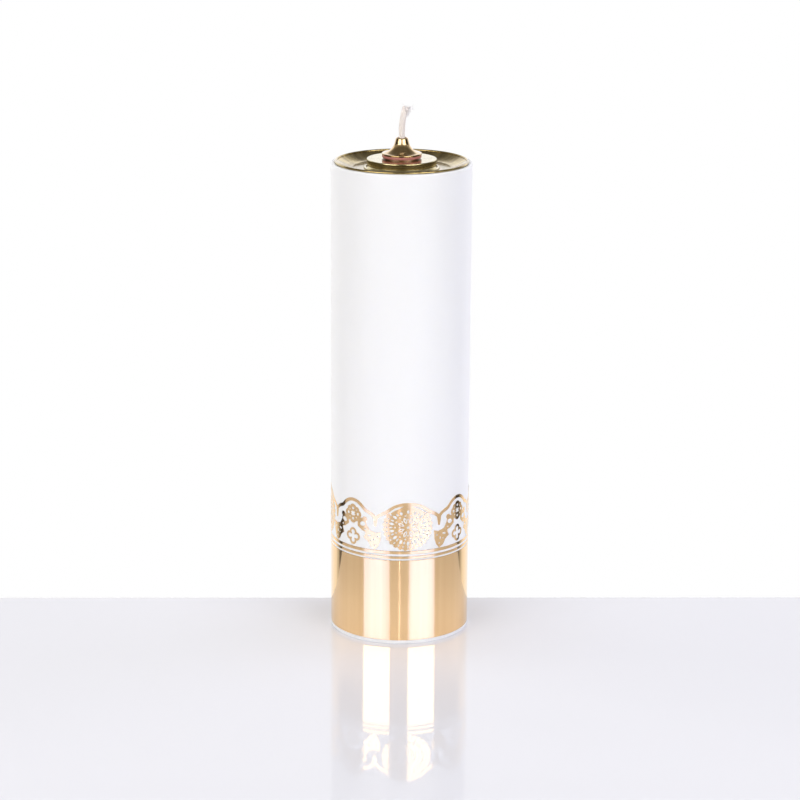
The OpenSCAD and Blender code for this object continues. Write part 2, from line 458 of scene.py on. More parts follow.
WHITE = white_plastic()
GOLD = gold_foil("gold_foil", 0.000001)
LACE_GOLD = gold_foil("lace_foil", 0.000035)
# The dish's dark and light tones are mixed in radial streaks that paint its reflection fans.
DISH_BRASS = spun_brass("dish_brass", (0.36, 0.26, 0.09), (0.68, 0.53, 0.22), 0.11)
TURNED_BRASS = spun_brass("turned_brass", (0.58, 0.48, 0.22), (0.70, 0.59, 0.30), 0.14, 2600)
BURNER_BRASS = spun_brass("burner_brass", (0.60, 0.40, 0.17), (0.76, 0.54, 0.26), 0.10, 2600)
# The bush's brass is darkened to paint the shade that falls under the wider gasket.
BUSH_SHADE_BRASS = spun_brass("bush_painted_shade_brass", (0.12, 0.06, 0.03), (0.20, 0.11, 0.06), 0.34, 2600)
TIN = tinplate()
SEAL = rubber("seal_rubber", (0.012, 0.012, 0.012), (0.035, 0.034, 0.033))
RED = rubber("red_gasket", (0.38, 0.12, 0.095), (0.50, 0.20, 0.16))
COTTON = cotton("wick_cotton", (0.93, 0.84, 0.77), (0.96, 0.90, 0.84))
FRAY = cotton("wick_fray", (0.84, 0.81, 0.81), (0.97, 0.95, 0.94))


# ---- camera
def make_camera():
    """The camera in front of the candle, looking slightly down on it."""
    data = bpy.data.cameras.new("camera")
    cam = bpy.data.objects.new("camera", data)
    bpy.context.scene.collection.objects.link(cam)
    data.sensor_width = 36
    data.lens = 122.6
    data.clip_start = 0.05
    data.clip_end = 50
    pitch, roll = 15.277, 0.339
    stand = Matrix.Translation((-0.0002, -1.5178, 0.5494))
    tilt = Matrix.Rotation(math.radians(90 - pitch), 4, "X")
    cam.matrix_world = stand @ tilt @ Matrix.Rotation(math.radians(roll), 4, "Z")
    bpy.context.scene.camera = cam


make_camera()


# ---- wick
# Route of the wick, from its bent top to its tail: (across, depth, height above the lip)
WICK_ROUTE = [
    (2.4, 0, 31.4), (1.5, 0, 29), (0.8, 0, 26), (0.3, 0, 23), (0, 0, 19), (0, 0, 14),
    (0, 0, 7), (0, 0, 0), (0, 0, -7), (0, 0, -14), (0, 0, -21), (0, 0, -28), (0, 0, -35),
    (0, 0, -41), (0.3, 0.1, -48), (0.9, 0.3, -55), (1.5, 0.5, -62), (1.8, 0.7, -69),
    (1.7, 0.8, -76), (1.2, 0.7, -83), (0.5, 0.5, -90), (-0.2, 0.2, -97), (-0.8, -0.1, -103),
]
# The braid. Its core starts, and its flare ends, a number of steps below the tip
WICK_STEP = 0.35
YARNS = 8
YARN_R = 0.40
BRAID_R = 1.36
BRAID_PITCH = 9.0
WEAVE = 0.13
CORE_R = 1.28
CORE_START = 4
FLARE_STEPS = 14
WICK_SHARP_DEG = 80
FIBRES = 300
TIP_FIBRES = 100
FIBRE_R = 0.085
FIBRE_PARTS = 6


def smooth_path(points, step):
    """Points about step apart on a smooth curve through the given ones."""
    path = [Vector(p) for p in points]
    out = []
    for i in range(len(path) - 1):
        a, b = path[i], path[i + 1]
        before = path[max(i - 1, 0)]
        after = path[min(i + 2, len(path) - 1)]
        parts = max(1, round((b - a).length / step))
        for k in range(parts):
            t = k / parts
            out.append(0.5 * (2 * a + (b - before) * t
                              + (2 * before - 5 * a + 4 * b - after) * t * t
                              + (3 * a - before - 3 * b + after) * t ** 3))
    return out + [path[-1]]


def yarn_route(line, frames, n, way):
    """Where yarn n runs in the braid. It starts up to four steps below the tip, so that the cut
    end is ragged, and the braid flares near it."""
    route = []
    for i in range((3 * n + way) % 5, len(line)):
        turns = i * WICK_STEP / BRAID_PITCH
        a = TAU * n / YARNS + way * TAU * turns
        lift = WEAVE * way * math.sin(YARNS * TAU * turns + n * math.pi)
        flare = 1 + 0.25 * max(0.0, 1 - i / FLARE_STEPS) ** 2
        u, v = frames[i]
        out = u * math.cos(a) + v * math.sin(a)
        route.append(line[i] + out * ((BRAID_R + lift) * flare))
    return route


def make_braid(line, frames):
    """Yarns in both directions over a soft core."""
    parts = [tube_along(line[CORE_START:], CORE_R, 12)]
    for way in (-1, 1):
        for n in range(YARNS):
            parts.append(tube_along(yarn_route(line, frames, n, way), YARN_R, 6))
    braid = add_mesh("wick_braid", *merged(parts), WICK_SHARP_DEG)
    return place(braid, "wick_cord", COTTON, "wick_cotton", "wick")


def fibre(rng, line, frames, loose):
    """One frayed fibre. The loose ones leave the wick's side, most of them towards the right,
    and the others stand on its tip."""
    i = rng.randrange(0, 17) if loose else rng.randrange(1, 6)
    u, v = frames[i]
    a = rng.gauss(0.1, 0.8) if loose else rng.uniform(0, TAU)
    out = u * math.cos(a) + v * math.sin(a)
    from_middle = 1.5 if loose else 1.7 * math.sqrt(rng.random())
    reach = rng.uniform(0.55, 1.0) * (4.0 - 0.15 * i) if loose else rng.uniform(0.6, 1.9)
    rise = rng.uniform(0.15, 0.9)
    outwards = rng.uniform(0.6, 1.1) if loose else 0.25
    aim = Vector((0, 0, rise)) + out * outwards
    bend = Vector((rng.uniform(-0.3, 0.3), rng.uniform(-0.3, 0.3), rng.uniform(-0.4, 0.2)))
    start = line[i] + out * from_middle
    shares = [k / FIBRE_PARTS for k in range(FIBRE_PARTS + 1)]
    points = [start + (aim + bend * share) * reach * share for share in shares]
    return tube_along(points, [FIBRE_R * (1 - 0.6 * share) for share in shares], 4)


def make_fray(line, frames):
    """The fibres of the wick's cut end."""
    rng = random.Random(7)
    fibres = [fibre(rng, line, frames, n >= TIP_FIBRES) for n in range(FIBRES)]
    fray = add_mesh("wick_fray", *merged(fibres), WICK_SHARP_DEG)
    return place(fray, "wick_cord", FRAY, "wick_cotton")


def make_wick():
    """The wick: its braid and the fibres of its cut end."""
    line = smooth_path([(x, y, z + LIP_Z) for x, y, z in WICK_ROUTE], WICK_STEP)
    frames = frames_along(line, Vector((1, 0, 0)))
    braid = make_braid(line, frames)
    fray = make_fray(line, frames)


make_wick()


# ---- white tube and base
def make_tube():
    """The white tube, with a rounded lip and a narrow step inside it."""
    step_r, step_z = 38.3, LIP_Z - 0.3
    tube = lathe("tube_shell", rounded([
        (BORE_R, TUBE_Z), (TUBE_R, TUBE_Z, 0.12), (TUBE_R, LIP_Z, 1.2), (step_r, LIP_Z, 0.12),
        (step_r - 0.05, step_z), (BORE_R, step_z, 0.1), (BORE_R, LIP_Z - 20), (BORE_R, 16)],
        6), 360)
    place(tube, "casing", WHITE, "white_plastic", "candle_tube")


def make_base_plug():
    """The foot: a flange under the tube, a cup that fits its bore, and a hollow ribbed boss."""
    gap = 0.02
    foot_r, flange_r = TUBE_R - 4, TUBE_R - gap
    cup_r, cup_z, wall = BORE_R - 0.05, TUBE_Z + 12, 2
    under_z, floor_z = 0.8, 2.2
    boss_r, boss_bore, boss_z = 6, 4, 8.8
    base = lathe("base_plug_body", rounded([
        (0, under_z), (foot_r - 0.5, under_z, 0.2), (foot_r - 0.1, 0, 0.2), (flange_r, 0, 0.45),
        (flange_r, TUBE_Z - gap, 0.12), (cup_r, TUBE_Z - gap), (cup_r, cup_z, 0.4),
        (cup_r - wall, cup_z, 0.4), (cup_r - wall, floor_z, 0.5), (boss_r, floor_z, 0.3),
        (boss_r, boss_z, 0.3), (boss_bore, boss_z, 0.3), (boss_bore, floor_z, 0.3),
        (0, floor_z)]), 256)
    ribs = [rib_part(5.2, cup_r - 1.85, half=0.8, z0=2.0, z1=8.2, turn=n * TAU / 6)
            for n in range(6)]
    rib_obj = add_mesh("base_plug_ribs", *merged(ribs))
    place(base, "casing", WHITE, "white_plastic", "base_plug")
    place(rib_obj, "casing", WHITE, "white_plastic")


def rib_part(x0, x1, half, z0, z1, turn):
    """Points and faces of a straight rib with rounded upper edges, turned about the axis."""
    section = rounded([(-half, z0), (half, z0), (half, z1, 0.4), (-half, z1, 0.4)])
    verts = [(*rotated(x, y, turn), z) for x in (x0, x1) for y, z in section]
    return verts, tube_faces(2, len(section))


make_tube()
make_base_plug()


# ---- gold foil
SEAM = math.radians(184)
LAP = math.radians(5)
LAP_T = 0.05
LOW_RING = 1.5
HIGH_RING = 1.8


def foil_shape(a, r, z):
    """The foil laps over its own start at the back."""
    if r <= TUBE_R + FOIL_T / 2:
        return r
    past_seam = (a - SEAM) % TAU
    return r + LAP_T if past_seam > TAU - LAP else r


def make_foil(name, z0, z1, node):
    """A plain band of foil round the tube."""
    band = lathe(name, rounded([
        (TUBE_R, z0), (FOIL_R, z0, 0.04), (FOIL_R, z1, 0.04), (TUBE_R, z1)], 2), 512, foil_shape)
    place(band, "casing", GOLD, "gold_foil", node)


make_foil("foil_band", low("gold_band"), high("gold_band"), "gold_band")
make_foil("foil_ring_low", low("gold_rings"), low("gold_rings") + LOW_RING, "gold_rings")
make_foil("foil_ring_high", high("gold_rings") - HIGH_RING, high("gold_rings"), "gold_rings")


# ---- foil lace
class Stencil:
    """Flat shapes painted in gold or cut out, each later one over the earlier ones."""

    def __init__(self):
        self.shapes = []

    def poly(self, points, gold=True, at=(0, 0), turn=0.0):
        """A shape drawn round the origin, turned, and moved to at."""
        spot = Vector(at)
        self.shapes.append((gold, [spot + Vector(rotated(*p, turn)) for p in points]))

    def oval(self, u, z, a, b=None, gold=True, tilt=0.0, sides=20):
        turns = [TAU * k / sides for k in range(sides)]
        ring = [(a * math.cos(t), (b or a) * math.sin(t)) for t in turns]
        self.poly(ring, gold, (u, z), math.radians(tilt))

    def stroke(self, points, width, end_width=None):
        """A line of foil along points, which may narrow to end_width."""
        line = [Vector(p) for p in points]
        last = len(line) - 1
        left, right = [], []
        for i, p in enumerate(line):
            t = (line[min(i + 1, last)] - line[max(i - 1, 0)]).normalized()
            half = (width + ((end_width or width) - width) * i / last) / 2
            normal = Vector((-t.y, t.x)) * half
            left.append(p + normal)
            right.append(p - normal)
        self.poly(left + right[::-1])

    def petal(self, u, z, start, end, width, turn, gold=False):
        """A pointed leaf that lies from start to end along a ray from (u, z)."""
        shares = [k / 8 for k in range(9)]
        points = [(start + (end - start) * t, width / 2 * math.sin(math.pi * t) ** 0.8)
                  for t in shares]
        self.poly(points + [(x, -y) for x, y in points[-2:0:-1]], gold, (u, z), turn)


# Widths of the two kinds of arch and the middle of the front one, in degrees round the tube
NARROW_DEG = 43.0
WIDE_DEG = 54.5
FRONT_DEG = 7.0
# Half widths that the two arches are drawn at
NARROW_HALF = 15.0
WIDE_HALF = 19.05
LACE_TOP = high("lace_border")
RING_TOP = high("gold_rings")
# Middle line of each kind of arch: (share of its half width, depth below the lace's top)
NARROW_LINE = [(0, 0.95), (0.2, 1.5), (0.37, 3.0), (0.5, 4.8), (0.58, 5.9), (0.7, 6.6),
               (0.86, 7.9), (1, 9.8)]
WIDE_LINE = [(0, 0.95), (0.2, 1.25), (0.4, 2.5), (0.55, 4.3), (0.68, 6.0), (0.84, 7.6),
             (1, 9.8)]
ARCH_STROKE = 1.9
STRIPS = 288
# How far the drawing runs on past its two ends, and the strips past the lace's edges
OVERRUN_DEG = 60
OVERRUN = 2


def arch_line(st, u, half, shares):
    """The band that edges the lace over one arch."""
    right = [(share * half, LACE_TOP - drop, 0) for share, drop in shares]
    left = [(-x, z, 0) for x, z, _ in right[:0:-1]]
    st.stroke([(u + p.x, p.y) for p in smooth_path(left + right, 0.8)], ARCH_STROKE)


def pendant(st, u):
    """The drop that hangs from the notch between two arches."""
    tip = LACE_TOP - 14.2
    st.stroke([(u, LACE_TOP - 9), (u, LACE_TOP - 12), (u, tip)], 3.0, 1.5)
    st.oval(u, tip, 0.75, 0.9)


def corner(st, u, way):
    """The pointed patch under a notch. way is 1 where the narrow arch is on its right, else -1."""
    z = LACE_TOP
    outline = [(-3.4, 17.8), (-0.4, 18.6), (3.0, 17.6), (6.0, 17.2), (6.4, 20.2), (7.4, 22.2),
               (4.6, 24.2), (3.0, 27.0), (0.2, 28.7), (-1.8, 26.4), (-3.1, 23.0)]
    st.poly([(u + way * x, z - drop) for x, drop in outline])
    st.oval(u + way * 3.8, z - 20.6, 1.3, 0.6, False, -way * 12)
    for x, drop, a, b in ((-1.4, 20.8, 0.62, 0.5), (0.9, 22.9, 0.5, 0.8),
                          (3.0, 23.4, 0.5, 0.42), (0.3, 26.0, 0.42, 0.65)):
        st.oval(u + way * x, z - drop, a, b, False, sides=12)


def narrow_arch(st, u, half):
    """Two looped branches, a rosette of rings and a four-lobed outline under the arch."""
    k = half / NARROW_HALF
    arch_line(st, u, half, NARROW_LINE)
    for way in (-1, 1):
        branch(st, u, k * way)
    rosette(st, u, LACE_TOP - 9.3, k)
    lobes(st, u, LACE_TOP - 22.8, k)


def branch(st, u, k):
    """A looped branch of a narrow arch. k stretches it, and turns it to the left where it is
    negative."""
    z = LACE_TOP
    outline = [(3.6, 10.4), (6.4, 11.0), (7.6, 9.8), (9.2, 9.9), (9.9, 11.4), (9.1, 12.6),
               (9.6, 14.6), (11.4, 17.4), (9.0, 18.9), (6.6, 18.2), (3.4, 15.9)]
    st.poly([(u + x * k, z - drop) for x, drop in outline])
    st.oval(u + 6.9 * k, z - 14.2, 1.85 * abs(k), 1.35, False, math.copysign(15, k))
    st.oval(u + 8.6 * k, z - 17.2, 0.7 * abs(k), 0.45, False, sides=12)


def rosette(st, u, zc, k):
    """Eight rings, large and small in turn, round a heart of eight dots."""
    large = [i % 2 == 0 for i in range(8)]
    turns = [i * TAU / 8 for i in range(8)]
    for a, big in zip(turns, large):
        width, height = (2.4, 2.3) if big else (1.9, 1.9)
        st.oval(u + 3.55 * k * math.cos(a), zc + 3.35 * math.sin(a), width * k, height)
    for a, big in zip(turns, large):
        hole = 0.8 if big else 0.42
        st.oval(u + 3.55 * k * math.cos(a), zc + 3.1 * math.sin(a), hole, hole, False, sides=14)
    for a in turns:
        between = a + TAU / 16
        st.oval(u + 1.6 * k * math.cos(between), zc + 1.5 * math.sin(between), 0.27, 0.27,
                False, sides=8)


def lobes(st, u, zc, k):
    """A four-lobed patch with the same shape, smaller, cut out of its middle."""
    for r, d, w, gold in ((2.55, 2.5, 1.6, True), (1.3, 2.45, 1.3, False)):
        for i in range(4):
            a = i * TAU / 4
            st.oval(u + d * k * math.cos(a), zc + d * math.sin(a), r, gold=gold)
        st.poly([(u - w, zc - w), (u + w, zc - w), (u + w, zc + w), (u - w, zc + w)], gold)


def wide_arch(st, u, half):
    """A large round medallion, and two openings between it and the arch."""
    k = half / WIDE_HALF
    zc = LACE_TOP - 14.6
    arch_line(st, u, half, WIDE_LINE)
    medallion_rim(st, u, zc, k)
    medallion_petals(st, u, zc, k)
    medallion_heart(st, u, zc, k)
    lens = [(2.4, 1.95), (5.0, 2.25), (7.6, 3.15), (10.0, 4.9), (11.6, 6.9), (10.2, 6.4),
            (7.8, 4.7), (5.2, 3.5)]
    for way in (-1, 1):
        st.poly([(u + way * x * k, LACE_TOP - drop - 0.05) for x, drop in lens], False)


def medallion_rim(st, u, zc, k):
    """A gold disc with a scalloped edge and a ring of slots inside it, both open at the top."""
    st.oval(u, zc, 14.0 * k, 13.3, sides=64)
    for i in range(28):
        a = TAU * (i + 0.5) / 28
        if math.sin(a) < 0.55:
            st.oval(u + 14.0 * k * math.cos(a), zc + 13.3 * math.sin(a), 1.0, 0.75,
                    True, math.degrees(a) + 90, 12)
    for i in range(28):
        a = TAU * i / 28
        if math.sin(a) < 0.72:
            st.oval(u + 12.5 * k * math.cos(a), zc + 11.9 * math.sin(a), 0.68, 0.45,
                    False, math.degrees(a), 10)


def medallion_petals(st, u, zc, k):
    """The outer ring of cut-out petals, with an oval and a dot between each two."""
    for i in range(14):
        a = TAU * (i + 0.5) / 14
        end = 11.2 if math.sin(a) < 0.8 else 10.4
        st.petal(u, zc, 8.1 * k, end * k, 1.6, a)
    for i in range(14):
        a = TAU * i / 14
        if math.sin(a) < 0.9:
            st.oval(u + 9.9 * k * math.cos(a), zc + 9.5 * math.sin(a), 0.5, 0.95,
                    False, math.degrees(a) + 90, 12)
        st.oval(u + 7.5 * k * math.cos(a), zc + 7.2 * math.sin(a), 0.5, 0.5, False, 0, 10)


def medallion_heart(st, u, zc, k):
    """The inner flower: petals with a gold vein, ovals between them, and a ring in the middle."""
    for i in range(8):
        a = TAU * (i + 0.5) / 8
        st.petal(u, zc, 2.3, 6.4, 2.0, a)
        st.petal(u, zc, 3.3, 5.4, 0.7, a, True)
    for i in range(8):
        a = TAU * i / 8
        st.oval(u + 4.9 * k * math.cos(a), zc + 4.8 * math.sin(a), 0.55, 0.4,
                False, math.degrees(a), 10)
    st.oval(u, zc, 1.5, sides=14)
    st.oval(u, zc, 0.8, gold=False, sides=10)


def arches():
    """(middle angle, width, wide) of the arches round the tube, the back ones a little narrower."""
    seen = [(WIDE_DEG, True), (NARROW_DEG, False)]
    hidden = seen + seen + [(WIDE_DEG, True)]
    side = [(NARROW_DEG, False)]
    room = 360 - sum(width for width, _ in seen + side)
    squeeze = room / sum(width for width, _ in hidden)
    at = FRONT_DEG - WIDE_DEG / 2
    out = []
    for width, wide in seen + [(width * squeeze, wide) for width, wide in hidden] + side:
        out.append((at + width / 2, width, wide))
        at += width
    return out


def inside(outline, points):
    """Which of the points lie inside a closed outline. Both are n by 2 arrays."""
    hit = np.zeros(len(points), dtype=bool)
    u, z = points[:, 0], points[:, 1]
    for (au, az), (bu, bz) in zip(outline, np.roll(outline, -1, axis=0)):
        if az == bz:
            continue
        crosses = (az > z) != (bz > z)
        hit ^= crosses & (u < au + (z - az) * (bu - au) / (bz - az))
    return hit


def painted(st, centres):
    """True where the last shape over each centre is gold."""
    gold = np.zeros(len(centres), dtype=bool)
    for is_gold, points in st.shapes:
        outline = np.array([tuple(p) for p in points])
        in_box = (centres > outline.min(axis=0)) & (centres < outline.max(axis=0))
        near = np.flatnonzero(in_box.all(axis=1))
        gold[near[inside(outline, centres[near])]] = is_gold
    return gold


def draw_lace(start, per_degree):
    """The whole pattern, flat, with some of it repeated past both ends."""
    st = Stencil()
    first, last = start - OVERRUN_DEG, start + 360 + OVERRUN_DEG
    for turn in (-360, 0, 360):
        for middle, width, wide in arches():
            if first < middle + turn < last:
                draw = wide_arch if wide else narrow_arch
                draw(st, (middle + turn) * per_degree, width * per_degree / 2)
        for middle, width, wide in arches():
            left = middle + turn - width / 2
            if first < left < last:
                corner(st, left * per_degree, -1 if wide else 1)
                pendant(st, left * per_degree)
    return st


def make_lace():
    """Paints the lace flat, cuts it into narrow strips, and wraps it round the tube as foil."""
    per_degree = math.radians(1) * FOIL_R
    start = arches()[0][0] - arches()[0][1] / 2
    st = draw_lace(start, per_degree)
    points, edges = [], []
    for _, outline in st.shapes:
        first = len(points)
        points += outline
        edges += [(i, i + 1) for i in range(first, len(points) - 1)] + [(len(points) - 1, first)]
    for k in range(STRIPS + 1):
        u = (start + 360 * k / STRIPS) * per_degree
        edges.append((len(points), len(points) + 1))
        points += [Vector((u, RING_TOP - OVERRUN)), Vector((u, LACE_TOP + OVERRUN))]
    flat, _, tris, _, _, _ = delaunay_2d_cdt(points, edges, [], 0, 1e-4, False)
    flat = np.array([tuple(p) for p in flat])
    tris = np.array(tris)
    centres = flat[tris].mean(axis=1)
    within = (centres[:, 0] > start * per_degree) & (centres[:, 0] < (start + 360) * per_degree)
    tris = tris[within]
    tris = tris[painted(st, centres[within])]
    wrap(tris, flat, per_degree)


def wrap(tris, flat, per_degree):
    """The flat triangles as a closed foil solid on the tube."""
    number, at, ids = {}, [], {}
    for i in np.unique(tris):
        angle, z = flat[i][0] / per_degree % 360, flat[i][1]
        key = (round(angle, 3) % 360, round(z, 3))
        if key not in number:
            number[key] = len(at)
            at.append((math.radians(angle), z))
        ids[i] = number[key]
    count = len(at)
    verts = [(r * math.sin(a), -r * math.cos(a), z) for r in (FOIL_R, TUBE_R) for a, z in at]
    faces, border = [], set()
    for tri in tris:
        a, b, c = (ids[i] for i in tri)
        if len({a, b, c}) < 3:
            continue
        faces += [[a, b, c], [c + count, b + count, a + count]]
        for edge in ((a, b), (b, c), (c, a)):
            if edge[::-1] in border:
                border.remove(edge[::-1])
            else:
                border.add(edge)
    faces += [[b, a, a + count, b + count] for a, b in sorted(border)]
    lace = add_mesh("foil_lace", verts, faces, 40)
    place(lace, "casing", LACE_GOLD, "gold_foil", "lace_border")


make_lace()


# ---- brass dish
def make_dish():
    """The spun dish: a flat floor, a rippled wall that rises to the lip, and a rolled bead."""
    mouth_r, flat_r, floor_r = 20.6, 24, 27.8
    floor_z, sheet = LIP_Z - 3.15, 0.8
    bead_r = 0.7
    bead_c, bead_z = radius("top_dish") - bead_r, high("top_dish") - bead_r
    wall_r, wall_z = bead_c - 0.55, LIP_Z + 0.3
    ripple_h, ripple_w = 0.018, 0.95

    def face(r):
        share = max(0.0, (r - floor_r) / (wall_r - floor_r))
        fade = min(1, 4 * share) * min(1, 6 * (1 - share))
        ripple = ripple_h * math.sin(TAU * r / ripple_w) * fade
        return floor_z + (wall_z - floor_z) * share ** 1.5 + ripple

    edge = BORE_R - 0.12
    upper = [floor_r + (wall_r - floor_r) * i / 56 for i in range(57)]
    lower = [edge - (edge - floor_r) * i / 20 for i in range(21)]
    outline = [(mouth_r, floor_z, 0.25), (flat_r, floor_z)]
    outline += [(r, face(r)) for r in upper]
    outline += arc(bead_c, bead_z, bead_r, 190, -105, 26)
    outline += [(wall_r, LIP_Z - 0.2), (edge, LIP_Z - 0.22)]
    outline += [(r, face(r) - sheet) for r in lower]
    outline += [(flat_r, floor_z - sheet), (mouth_r, floor_z - sheet, 0.25)]
    dish = lathe("dish_spinning", rounded(outline), 288)
    place(dish, "dish", DISH_BRASS, "dish_brass", "top_dish")


def make_skirt():
    """The ring under the dish that centres it in the tube."""
    z0, z1 = span("dish_skirt")
    outer = radius("dish_skirt")
    inner = outer - 0.7
    skirt = lathe("dish_skirt_ring", rounded([
        (inner, z1), (inner, z0, 0.2), (outer, z0, 0.3), (outer, z1)]))
    place(skirt, "dish", DISH_BRASS, "dish_brass", "dish_skirt")


make_dish()
make_skirt()


# ---- oil cartridge
BUSH_R = 8.5
NUT_R = 12.1


def make_cap():
    """The cap over the tank: a raised boss, a flange that rests on the dish, and a hole."""
    z0 = low("tank_cap")
    boss_r, inner, flange_r = 19.8, 19.1, radius("tank_cap")
    hole_r, under_z = BUSH_R + 0.05, SEAT_Z - 0.9
    cap = lathe("cap_boss", rounded([
        (hole_r, under_z), (inner, under_z, 0.2), (inner, z0, 0.1), (flange_r, z0, 0.12),
        (flange_r, z0 + 0.7, 0.3), (boss_r + 0.45, z0 + 0.72, 0.3), (boss_r + 0.1, z0 + 1.3, 0.3),
        (boss_r - 0.12, z0 + 1.7, 0.2), (boss_r - 0.12, z0 + 2.3, 0.2), (boss_r, z0 + 2.6, 0.2),
        (boss_r, SEAT_Z, 0.5), (hole_r, SEAT_Z)], 5), 288)
    place(cap, "cartridge", TURNED_BRASS, "turned_brass", "tank_cap")


def make_bush():
    """The threaded bush in the cap's hole, with a thin flange on top."""
    z0, z1 = span("neck_bush")
    flange_r = radius("neck_bush")
    bore, depth = 7.05, 0.55

    def relief(a, r, z):
        """Internal thread, cut outwards from the bore."""
        if r > bore + 0.01 or not z0 + 0.8 < z < z1 - 0.5:
            return r
        return r + depth * thread_wave(a, z)

    bush = lathe("neck_bush_body", threaded_outline([
        (BUSH_R, z0), (BUSH_R, SEAT_Z), (flange_r, SEAT_Z, 0.1), (flange_r, z1, 0.15),
        (bore + 0.3, z1), (bore, z1 - 0.3)], bore, z0), 96, relief)
    # Dark brass: painted shade under the gasket's overhang.
    place(bush, "cartridge", BUSH_SHADE_BRASS, "turned_brass", "neck_bush")


def make_washer():
    """The sealing washer under the cap."""
    z0, z1 = span("bush_washer")
    inner, outer = BUSH_R + 0.05, 11.5
    washer = lathe("bush_washer_ring", rounded([
        (inner, z0), (outer, z0, 0.15), (outer, z1, 0.15), (inner, z1)]), 96)
    place(washer, "cartridge", SEAL, "seal_rubber", "bush_washer")


def make_nut():
    """The hexagonal lock nut, with chamfered corners."""
    z0, z1 = span("bush_nut")
    inner, face_r, chamfer_r, chamfer = BUSH_R + 0.03, 10.5, 11.0, 0.7
    half_flat = NUT_R * math.cos(math.pi / 6)

    def hexagon(a, r, z):
        if r < 9.5:
            return r
        from_flat = (a + TAU / 12) % (TAU / 6) - TAU / 12
        return min(r, half_flat / math.cos(from_flat))

    nut = lathe("bush_nut_hex", rounded([
        (inner, z0), (face_r, z0), (chamfer_r, z0), (NUT_R, z0 + chamfer), (NUT_R, z1 - chamfer),
        (chamfer_r, z1), (face_r, z1), (inner, z1)]), 192, hexagon)
    place(nut, "cartridge", TURNED_BRASS, "turned_brass", "bush_nut")


def make_tank():
    """The can's wall: two pairs of rolled beads round it and a soldered seam up its back."""
    z0, z1 = span("oil_tank")
    tank_r = radius("oil_tank")
    wall = 0.5
    beads = [z0 + rise for rise in (28, 32, 72, 76)]
    bead_depth, bead_w = 0.35, 0.8
    seam_t, seam_w = 0.12, 1.2

    def can(a, r, z):
        roll = bead_depth * sum(math.exp(-((z - bead) / bead_w) ** 2) for bead in beads)
        if r < tank_r - wall / 2:
            return r - roll
        seam = math.exp(-(((a - math.pi) * tank_r) / seam_w) ** 2)
        return r - roll - seam_t * (1 - seam)

    parts = math.ceil((z1 - z0) / 0.8)
    rises = [z0 + (z1 - z0) * k / parts for k in range(parts + 1)]
    outline = [(tank_r, z) for z in rises] + [(tank_r - wall, z) for z in rises[::-1]]
    tank = lathe("oil_tank_can", outline, shape=can)
    place(tank, "cartridge", TIN, "tinplate", "oil_tank")


def make_tank_base():
    """The can's bottom: a pressed plate with a groove, seamed round the wall."""
    z0, z1 = span("tank_base")
    wall_r, seam_r = radius("oil_tank") + 0.02, radius("tank_base")
    top, sheet, groove = z0 + 1.2, 0.55, 0.35
    under = top - sheet
    base = lathe("tank_base_pressing", rounded([
        (0, top), (9, top), (10, top - groove, 0.5), (13.5, top - groove, 0.5), (14.5, top, 0.5),
        (16.4, top, 0.5), (17.2, z0 + 0.6, 0.4), (wall_r, z0 + 0.6), (wall_r, z1, 0.1),
        (seam_r, z1, 0.25), (seam_r, z0, 0.3), (16.9, z0, 0.3), (16.0, under, 0.4),
        (14.7, under, 0.5), (13.7, under - groove, 0.5), (9.8, under - groove, 0.5),
        (8.8, under, 0.5), (0, under)]))
    place(base, "cartridge", TIN, "tinplate", "tank_base")


def thread_wave(a, z):
    """Depth share, 0 to 1, of a right-hand thread's groove at this angle and height."""
    turn = (z / THREAD_PITCH - a / TAU) % 1
    return max(0.0, min(1.0, 1.6 - abs(turn - 0.5) * 4))


def threaded_outline(points, r, z_end):
    """A rounded outline that comes back along a thread at radius r, in fine steps."""
    out = rounded(points)
    z = out[-1][1]
    steps = math.ceil(abs(z - z_end) / (THREAD_PITCH / 10))
    return out + [(r, z + (z_end - z) * i / steps) for i in range(1, steps + 1)]


for make in (make_cap, make_bush, make_washer, make_nut, make_tank, make_tank_base):
    make()


# ---- gasket, wick tube and burner
SLEEVE_R = 2.5
SHANK_R = 7.0


def make_gasket():
    """The red gasket, rounded like a drum where the burner squeezes it."""
    outer, inner = radius("burner_gasket"), 7.3
    z0, z1 = GASKET_Z + 0.01, BURNER_Z - 0.01
    gasket = lathe("gasket_ring", rounded([
        (inner, z0), (outer - 0.1, z0, 0.3), (outer, (z0 + z1) / 2, 0.4),
        (outer - 0.1, z1, 0.3), (inner, z1)]))
    place(gasket, "gasket", RED, "red_gasket", "burner_gasket")


def make_sleeve():
    """The tube that carries the wick, with a collar under the burner's shank."""
    z0, z1 = span("wick_tube")
    inner, collar_r = 2.05, SLEEVE_R + 1.2
    shank_z = low("burner_cap")
    collar_low, collar_top = shank_z - 1.3, shank_z - 0.1
    sleeve = lathe("wick_sleeve", rounded([
        (inner, z0), (SLEEVE_R, z0, 0.1), (SLEEVE_R, collar_low, 0.05),
        (collar_r, collar_low, 0.2), (collar_r, collar_top, 0.2), (SLEEVE_R, collar_top),
        (SLEEVE_R, z1, 0.12), (inner, z1, 0.12)]), 96)
    place(sleeve, "wick_carrier", TURNED_BRASS, "turned_brass", "wick_tube")


